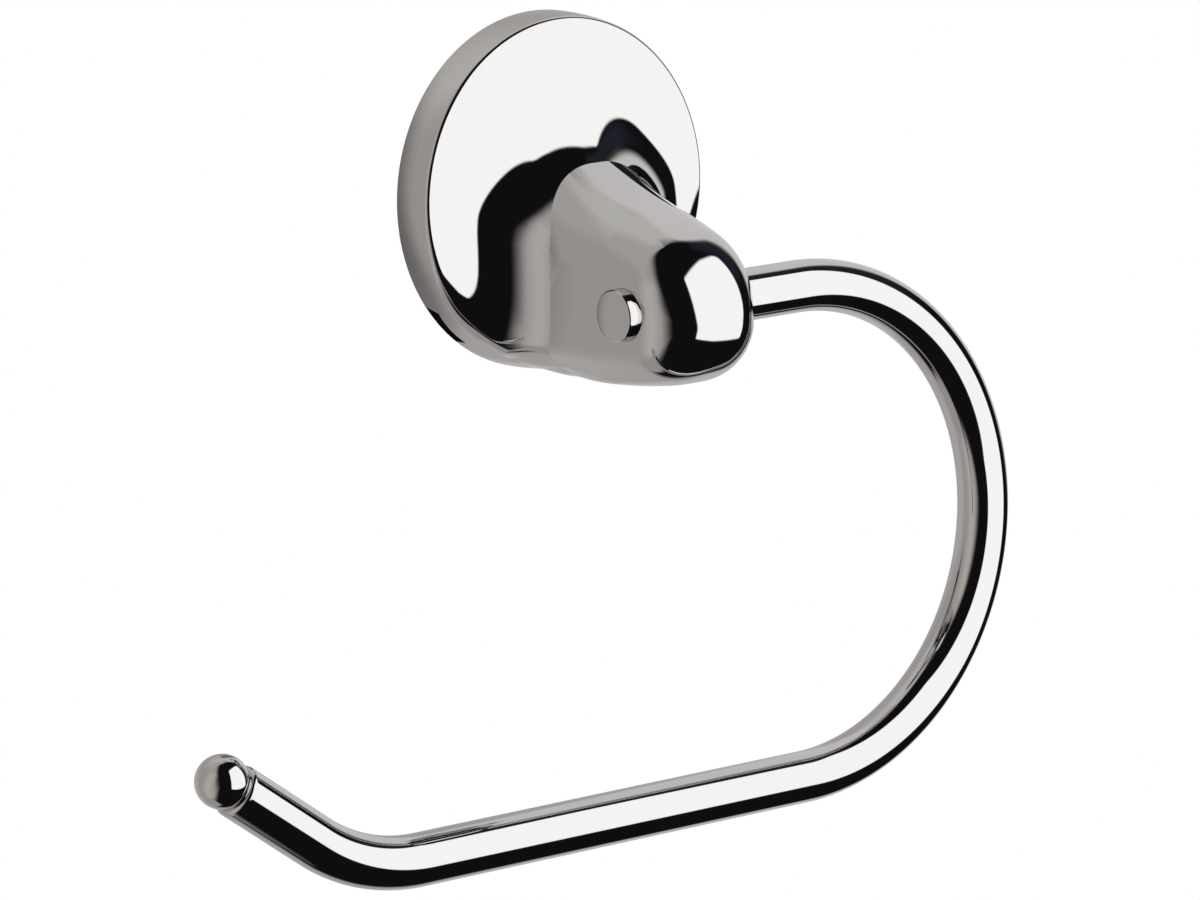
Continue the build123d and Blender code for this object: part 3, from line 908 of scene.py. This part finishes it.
# Studio cards as seen from the middle of the stage, all angles in degrees: turn from straight ahead
# (right is positive), rise as it is at the card's middle, softness of the edges, radius of the
# corners, lean of the upright edges in degrees of turn per degree of rise, and the card's tone.
# Later cards stand before earlier ones.
CARDS = [
    ("back_sweep", (112, 215), (-68, 74), 12, 10, 0, "#B3B0AF"),
    ("left_wall", (-184.5, -65.5), (-54, 68), 26, 24, -0.12, "#AFAAA9"),
    ("left_glow", (-106, -78), (-45, 35), 26, 10, 0.2, "#C5C0BA"),
    ("left_far", (-192, -146), (-48, 6), 24, 10, 0, "#C0BBBA"),
    ("left_low", (-152, -94), (-74, -46), 12, 8, 0, "#A9A5A3"),
    ("left_top", (-195, -97), (42, 92), 22, 10, 0, "#B9B5B3"),
    ("top_sweep", (104, 214), (50, 84), 34, 12, 0, "#CDCBC9"),
    ("right_card", (100, 137), (-8, 68), 10, 5, 0, "#DAD8D7"),
    ("right_foot", (113, 150), (-52, -4), 12, 5, 0, "#C9C7C6"),
    ("right_flag", (74, 92), (20, 60), 12, 6, 0, "#232830"),
    ("softbox", (-9.5, 70.3), (-28.5, 56), 2.6, 2, 0.02, "#FFFFFF"),
]
# Two dark flags close behind the rosette, in millimetres: the small one's corners, and the middle,
# the reach to the side and upwards, and the opacity of the large one, which fades to nothing
# between these shares of its reach
SMALL_FLAG = [(-31, 25, -46), (-12, 25, -50), (-12, 25, -36), (-31, 25, -36)]
LARGE_FLAG = ((-35, 28, -10), 38, 63, 0.62)
FLAG_FADE = (0.5, 1.0)
ROOM_TONE = "#131315"
FLAG_TONE = "#0C0C0C"
SOFTBOX_STRENGTH = 1.32
CARD_STRENGTH = 1.0
# A card up to this half width is flat; a wider one bends round the stage. A flat card's level edges
# sink no further than this cosine of the turn gives. Rises stop just short of straight up.
FLAT_CARD = 60
LEAST_FACING = 0.2
STEEPEST = 89.9
# Height of the stage's middle, in millimetres, and steps of the cards' shell round it and up it
STAGE_HEIGHT = -60.0
SHELL_STEPS = (360, 180)
# Half the floor's width in studio radii, and the world's strength for light that is not seen
FLOOR_SPAN = 8
UNSEEN_STRENGTH = 0.6
# The camera's sensor width in millimetres, and its nearest and furthest sight in metres
SENSOR_WIDTH = 36
CLIP_START, CLIP_END = 0.01, 50


def card_share(turned, rise, turns, rises, soft, corner, lean):
    """1 on a card and 0 off it. A flat card is upright, so its level edges sink away from its
    middle."""
    middle, half = sum(turns) / 2, (turns[1] - turns[0]) / 2
    aside = (turned - middle + 180) % 360 - 180
    facing = np.clip(np.cos(np.radians(aside)), LEAST_FACING, 1) if half < FLAT_CARD else 1
    slope = np.tan(np.radians(np.clip(rise, -STEEPEST, STEEPEST)))
    level = np.degrees(np.arctan(slope / facing))
    across = np.abs(aside - lean * rise) - half + corner
    up = np.abs(level - sum(rises) / 2) - (rises[1] - rises[0]) / 2 + corner
    past = np.hypot(np.maximum(across, 0), np.maximum(up, 0))
    past = past + np.minimum(np.maximum(across, up), 0) - corner
    return 1 - eased(past, -soft / 2, soft / 2)


def studio_tone(turned, rise):
    """Colour of the studio's cards in a direction."""
    tone = np.tile(np.array(to_linear(ROOM_TONE)), (len(turned), 1))
    for name, turns, rises, soft, corner, lean, hex_colour in CARDS:
        strength = SOFTBOX_STRENGTH if name == "softbox" else CARD_STRENGTH
        share = card_share(turned, rise, turns, rises, soft, corner, lean)
        tone += share[:, None] * (np.array(to_linear(hex_colour)) * strength - tone)
    return tone


def toned_card(name, mesh, tones, opacity):
    """A lit card that only reflections see, with a tone and an opacity kept at each point."""
    layer = mesh.color_attributes.new("card_tone", "FLOAT_COLOR", "POINT")
    layer.data.foreach_set("color", np.column_stack([tones, opacity]).ravel())
    mesh.materials.append(card_light())
    card = new_object(name, mesh)
    card.visible_camera = False
    card.visible_shadow = False


def near_flags(sides=32, rings=8):
    """The two dark flags close behind the rosette."""
    spots = list(SMALL_FLAG)
    faces = [range(len(spots))]
    opacity = [1.0] * len(spots)
    middle, aside, upward, full = LARGE_FLAG
    for ring in range(rings + 1):
        share = ring / rings
        for i in range(sides):
            angle = 2 * pi * i / sides
            across, up = aside * share * cos(angle), upward * share * sin(angle)
            spots.append((middle[0] + across, middle[1], middle[2] + up))
            opacity.append(full * (1 - eased(share, *FLAG_FADE)))
            if ring:
                here, back = len(spots) - 1, len(SMALL_FLAG) + ring * sides
                after = back + (i + 1) % sides
                faces.append((here - sides, after - sides, after, here))
    mesh = bpy.data.meshes.new("near_flags")
    mesh.from_pydata([tuple(Vector(spot) * MM) for spot in spots], [], faces)
    toned_card("near_flags", mesh, np.tile(to_linear(FLAG_TONE), (len(spots), 1)), opacity)


def studio_cards(stage):
    """The studio's cards as one round shell."""
    radius = stage.dome_radius
    middle = np.array([0, PIVOT.y, STAGE_HEIGHT])
    around, upward = SHELL_STEPS
    bm = bmesh.new()
    bmesh.ops.create_uvsphere(bm, u_segments=around, v_segments=upward, radius=radius * MM)
    bm.transform(Matrix.Translation(Vector(middle) * MM))
    shell = mesh_from_bmesh("studio_cards", bm)
    spots = np.array([v.co for v in shell.vertices]) / MM - middle
    turned = np.degrees(np.arctan2(spots[:, 0], -spots[:, 1]))
    rise = np.degrees(np.arcsin(np.clip(spots[:, 2] / radius, -1, 1)))
    toned_card("studio_cards", shell, studio_tone(turned, rise), np.ones(len(spots)))


def pale_floor(stage):
    """Pale floor well below the object."""
    drop = CAD_BOX[0].z / MM - stage.floor_drop
    width = FLOOR_SPAN * stage.dome_radius
    bm = bmesh.new()
    corners = [(x * width, y * width, drop) for x, y in ((-1, -1), (1, -1), (1, 1), (-1, 1))]
    bm.faces.new([bm.verts.new(Vector(corner) * MM) for corner in corners])
    mesh = mesh_from_bmesh("floor", bm)
    mesh.materials.append(seen_white(tuple(stage.backdrop)))
    floor = new_object("floor", mesh)


def white_world(stage):
    """White surroundings for the camera, the metal's reflections and anything see-through."""
    scene = bpy.context.scene
    scene.world = bpy.data.worlds.new("white_backdrop")
    scene.world.use_nodes = True
    tree = scene.world.node_tree
    tree.nodes.clear()
    ends = {"To Min": UNSEEN_STRENGTH, "To Max": 1.0}
    strength = add_node(tree, "ShaderNodeMapRange", {"Value": seen_rays(tree), **ends})
    sockets = {"Color": (*stage.backdrop, 1), "Strength": strength.outputs["Result"]}
    sky = add_node(tree, "ShaderNodeBackground", sockets)
    add_node(tree, "ShaderNodeOutputWorld", {"Surface": sky.outputs["Background"]})
    scene.view_settings.view_transform = "Standard"


def photo_camera(stage):
    """Camera at the photograph's place, turned, raised and rolled as it was."""
    data = bpy.data.cameras.new("camera")
    data.sensor_width = SENSOR_WIDTH
    data.lens = stage.lens
    data.clip_start, data.clip_end = CLIP_START, CLIP_END
    camera = new_object("camera", data)
    turned = Matrix.Rotation(stage.camera_turn, 4, "Z")
    raised = Matrix.Rotation(pi / 2 - stage.camera_rise, 4, "X")
    rolled = Matrix.Rotation(stage.camera_roll, 4, "Z")
    back = Matrix.Translation((0, 0, stage.camera_distance * MM))
    target = Matrix.Translation(Vector(stage.target) * MM)
    camera.matrix_world = target @ turned @ raised @ rolled @ back
    bpy.context.scene.camera = camera


# Operators and panel


class HOLDER_OT_post_casting(Operator):
    """Make the chromed casting: rosette, nose and the hollow behind them"""

    bl_idname = "holder.post_casting"
    bl_label = "Post casting"

    def execute(self, context):
        settings = context.scene.paper_holder
        tint = tuple(settings.finish.chrome)
        chrome = chrome_plate("chrome_plated_zinc_casting", tint, lump=9, dent=0.0012)
        mesh = casting_mesh(Millimetres(settings.casting))
        finish_piece("post", mesh, chrome, "post", "chrome_casting", "post_casting")
        return {"FINISHED"}


class HOLDER_OT_bail_tube(Operator):
    """Bend the bail's tube along its centre line"""

    bl_idname = "holder.bail_tube"
    bl_label = "Bail tube"

    def execute(self, context):
        settings = context.scene.paper_holder
        tint = tuple(settings.finish.chrome)
        chrome = chrome_plate("chrome_plated_drawn_tube", tint, lump=12, dent=0.0008)
        mesh = tube_mesh(Millimetres(settings.casting), Millimetres(settings.bail), chrome)
        finish_piece("bail", mesh, chrome, "bail", "chrome_tube", "bail_tube")
        return {"FINISHED"}


class HOLDER_OT_turned_parts(Operator):
    """Turn the pivot pin and the end ball"""

    bl_idname = "holder.turned_parts"
    bl_label = "Pin and ball"

    def execute(self, context):
        settings = context.scene.paper_holder
        casting, bail = Millimetres(settings.casting), Millimetres(settings.bail)
        tint = tuple(settings.finish.chrome)
        finer = {"lump": 5, "dent": 0.0008, "smoothest": 0.03, "roughest": 0.06}
        chrome = chrome_plate("chrome_plated_turned_bar", tint, **finer)
        finish_piece("pin", pin_mesh(casting, bail), chrome, "bail", "chrome_bar", "pivot_pin")
        finish_piece("ball", ball_mesh(casting, bail), chrome, "bail", "chrome_bar", "end_ball")
        return {"FINISHED"}


class HOLDER_OT_fixings(Operator):
    """Give the wall plate and the two set screws their metals"""

    bl_idname = "holder.fixings"
    bl_label = "Plate and screws"

    def execute(self, context):
        finish = context.scene.paper_holder.finish
        zinc = zinc_plate(tuple(finish.zinc))
        steel = machined_steel(tuple(finish.steel))
        wanted = {"wall_plate": zinc, "rosette_grub_screw": steel, "bail_stop_screw": steel}
        for name, material in wanted.items():
            node = frame["nodes"][name]
            node.data.materials.clear()
            node.data.materials.append(material)
        return {"FINISHED"}


class HOLDER_OT_stage(Operator):
    """Set up the floor, the studio's cards, the white surroundings and the camera"""

    bl_idname = "holder.stage"
    bl_label = "Stage"

    def execute(self, context):
        stage = Millimetres(context.scene.paper_holder.stage)
        photo_camera(stage)
        studio_cards(stage)
        near_flags()
        pale_floor(stage)
        white_world(stage)
        return {"FINISHED"}


class HOLDER_PT_panel(Panel):
    """Sidebar panel with the holder's settings and steps"""

    bl_idname = "HOLDER_PT_panel"
    bl_label = "Paper holder"
    bl_space_type = "VIEW_3D"
    bl_region_type = "UI"
    bl_category = "Paper holder"

    def draw(self, context):
        settings = context.scene.paper_holder
        for step in STEPS:
            self.layout.operator(step.bl_idname)
        for group in (settings.casting, settings.bail, settings.finish, settings.stage):
            box = self.layout.box()
            for name in group.__annotations__:
                box.prop(group, name)


STEPS = (
    HOLDER_OT_stage,
    HOLDER_OT_post_casting,
    HOLDER_OT_bail_tube,
    HOLDER_OT_turned_parts,
    HOLDER_OT_fixings,
)
GROUPS = (CastingSizes, BailSizes, Finishes, StageSettings, HolderSettings)
CLASSES = (*GROUPS, *STEPS, HOLDER_PT_panel)


def register():
    for cls in CLASSES:
        bpy.utils.register_class(cls)
    bpy.types.Scene.paper_holder = PointerProperty(type=HolderSettings)


def unregister():
    del bpy.types.Scene.paper_holder
    for cls in reversed(CLASSES):
        bpy.utils.unregister_class(cls)


def main():
    """Registers the add-on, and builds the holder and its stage."""
    register()
    for step in STEPS:
        group, action = step.bl_idname.split(".")
        getattr(getattr(bpy.ops, group), action)()


if __name__ == "__main__":
    main()
